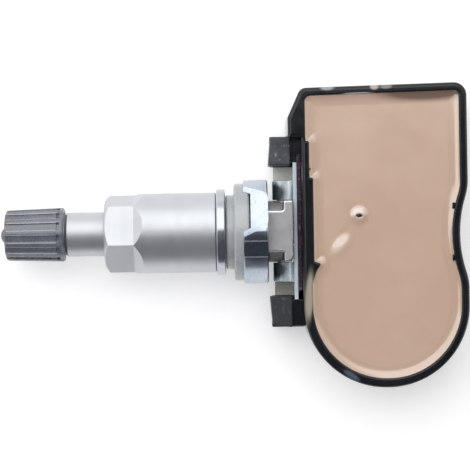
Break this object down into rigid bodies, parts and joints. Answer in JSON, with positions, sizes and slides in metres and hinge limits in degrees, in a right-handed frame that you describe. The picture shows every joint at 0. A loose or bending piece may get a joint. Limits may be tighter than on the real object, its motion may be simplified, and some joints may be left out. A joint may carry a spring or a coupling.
{
  "type": "tyre pressure sensor",
  "caption": "Clamp-in tyre pressure sensor: a potted housing that swivels on a metal valve stem with sleeve nut, grommet, collar and cap.",
  "frame": {"origin": "on the valve's axis, in the plane where the grommet's flange seats on the inside of the rim", "axes": "+X along the valve from the cap to the housing, +Y to the housing's straight upper end, +Z out of the potted face"},
  "size_m": [0.0812, 0.0524, 0.0182],
  "materials": {
    "aluminium_stem": "turned and forged, satin",
    "aluminium_nut": "turned and milled, satin",
    "steel_washer": "polished",
    "zinc_plate": "bright zinc plated",
    "steel_pin": "ground",
    "spring_steel": "drawn wire",
    "brass_core": "turned",
    "ptfe": "turned",
    "grommet_rubber": "moulded, translucent grey",
    "black_rubber": "moulded",
    "cap_plastic": "moulded",
    "strip_rubber": "cut from sheet, speckled",
    "housing_plastic": "moulded, gloss",
    "potting_resin": "poured, gloss",
    "cell_steel": "nickel-plated can, weighed as its light filling",
    "tab_steel": "nickel plated",
    "board_laminate": "solder-masked laminate",
    "package_plastic": "moulded package",
    "port_steel": "drawn tube",
    "ferrite": "sintered",
    "copper_winding": "wound enamelled wire",
    "antenna_brass": "stamped",
    "ceramic": "fired"
  },
  "bodies": {
    "valve": {"valve_stem": "aluminium_stem", "core_body": "brass_core", "core_ring": "ptfe", "core_spring": "spring_steel", "grommet": "grommet_rubber", "collar": "zinc_plate", "hinge_pin": "steel_pin"},
    "core_plunger": {"core_pin": "brass_core", "core_cup": "black_rubber"},
    "nut_carrier": {"washer": "steel_washer"},
    "nut": {"sleeve_nut": "aluminium_nut"},
    "cap_carrier": {"cap_seal": "black_rubber"},
    "cap": {"cap": "cap_plastic"},
    "sensor": {"bracket": "zinc_plate", "damping_strip": "strip_rubber", "housing": "housing_plastic", "potting": "potting_resin", "coin_cell": "cell_steel", "cell_tab_upper": "tab_steel", "cell_tab_lower": "tab_steel", "circuit_board": "board_laminate", "pressure_sensor": "package_plastic", "port_tube": "port_steel", "control_chip": "package_plastic", "crystal": "tab_steel", "coil_core": "ferrite", "coil_winding": "copper_winding", "antenna": "antenna_brass", "capacitors": "ceramic"}
  },
  "joints": [
    {"name": "housing_swivel", "type": "hinge", "parent": "valve", "child": "sensor", "pos_m": [0.00855, 0, 0], "axis": [0, 1, 0], "range_deg": [-12, 15]},
    {"name": "core_press", "type": "slide", "parent": "valve", "child": "core_plunger", "axis": [1, 0, 0], "range_m": [0, 0.0015], "stiffness_N_per_m": 1000, "springref_m": -0.0015, "deforming": ["core_spring"]},
    {"name": "nut_back_off", "type": "slide", "parent": "valve", "child": "nut_carrier", "axis": [-1, 0, 0], "range_m": [0, 0.006]},
    {"name": "nut_turn", "type": "hinge", "parent": "nut_carrier", "child": "nut", "pos_m": [-0.01, 0, 0], "axis": [-1, 0, 0], "range_deg": [0, 2722]},
    {"name": "cap_lift_off", "type": "slide", "parent": "valve", "child": "cap_carrier", "axis": [-1, 0, 0], "range_m": [0, 0.011]},
    {"name": "cap_turn", "type": "hinge", "parent": "cap_carrier", "child": "cap", "pos_m": [-0.034, 0, 0], "axis": [-1, 0, 0], "range_deg": [0, 4990]}
  ],
  "couplings": [
    {"joint": "nut_turn", "follows": "nut_back_off", "rad_per_m": 7913.3},
    {"joint": "cap_turn", "follows": "cap_lift_off", "rad_per_m": 7913.3}
  ]
}
